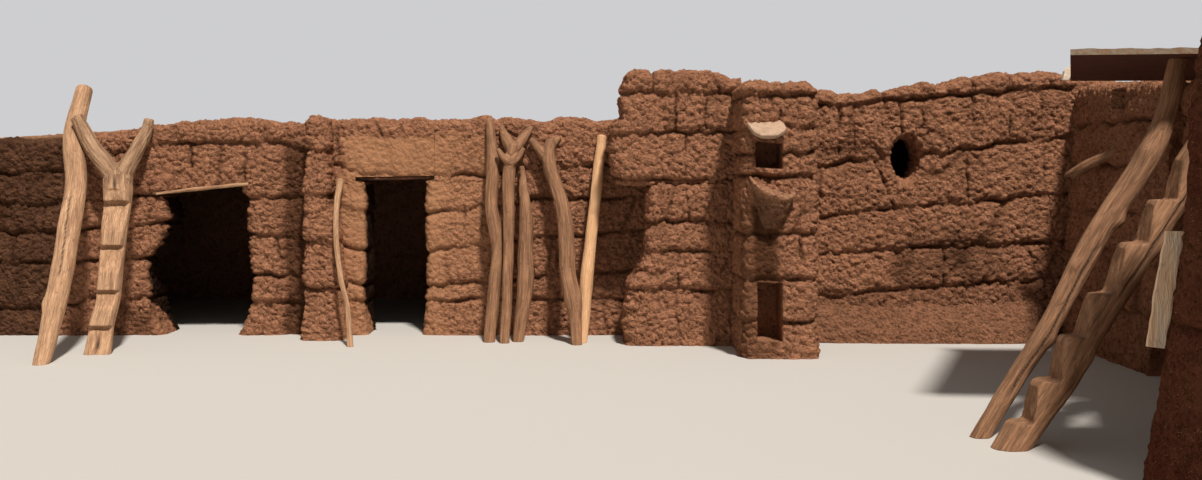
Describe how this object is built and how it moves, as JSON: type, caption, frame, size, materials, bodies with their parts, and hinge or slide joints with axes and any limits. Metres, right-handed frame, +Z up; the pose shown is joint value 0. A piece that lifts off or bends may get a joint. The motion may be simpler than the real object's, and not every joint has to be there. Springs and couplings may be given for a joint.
{
  "type": "adobe house",
  "caption": "Flat-roofed house of coursed mud walls round the corner of a court, with doorways, a niched pier, a vent, leaning logs, forked posts and notched-log ladders.",
  "frame": {"origin": "on the ground at the middle of the house's plan", "axes": "+X to the right as seen from the court, +Y from the court towards the back wall, +Z up"},
  "size_m": [11.1, 9.3, 2.45],
  "materials": {
    "coursed_mud": "rough hand-laid mud in thick courses",
    "smooth_mud": "hand-smoothed mud",
    "sooty_mud": "mud wall blackened by smoke",
    "roof_earth": "beaten earth",
    "fired_clay": "coarse unglazed clay",
    "flat_stone": "rough split stone",
    "weathered_log": "bare weathered log",
    "pale_wood": "worn bare wood",
    "brushwood": "laid branches",
    "shade_boards": "weathered boards"
  },
  "bodies": {
    "root": {"buttress": "smooth_mud", "clay_shelf": "fired_clay", "court_wall": "coursed_mud", "court_wall_pier": "smooth_mud", "edge_board": "pale_wood", "forked_post": "weathered_log", "high_back_wall": "coursed_mud", "high_front_wall_by_pier": "coursed_mud", "high_front_wall_corner": "coursed_mud", "high_front_wall_left": "coursed_mud", "high_front_wall_vent": "coursed_mud", "high_right_wall": "coursed_mud", "high_roof_branches": "brushwood", "high_roof_earth": "roof_earth", "high_roof_joists": "weathered_log", "high_side_wall": "coursed_mud", "leaning_forked_log": "weathered_log", "left_doorway_lintel": "weathered_log", "left_leaning_log": "weathered_log", "left_notched_ladder": "pale_wood", "left_post": "weathered_log", "low_back_wall": "coursed_mud", "low_end_wall": "coursed_mud", "low_front_wall_left": "sooty_mud", "low_front_wall_middle": "coursed_mud", "low_front_wall_right": "coursed_mud", "low_roof_branches": "brushwood", "low_roof_earth": "roof_earth", "low_roof_joists": "weathered_log", "niche_pier": "coursed_mud", "niche_stone": "flat_stone", "peeled_pole": "pale_wood", "return_wall": "coursed_mud", "right_doorway_lintel": "weathered_log", "right_leaning_log": "weathered_log", "right_notched_ladder": "pale_wood", "right_post": "weathered_log", "shade_roof": "shade_boards", "slim_pole": "weathered_log", "wall_branch": "weathered_log", "wall_foot": "smooth_mud", "wall_over_left_doorway": "coursed_mud", "wall_over_right_doorway": "coursed_mud", "wall_over_vent": "coursed_mud", "wall_under_vent": "coursed_mud"}
  },
  "joints": []
}
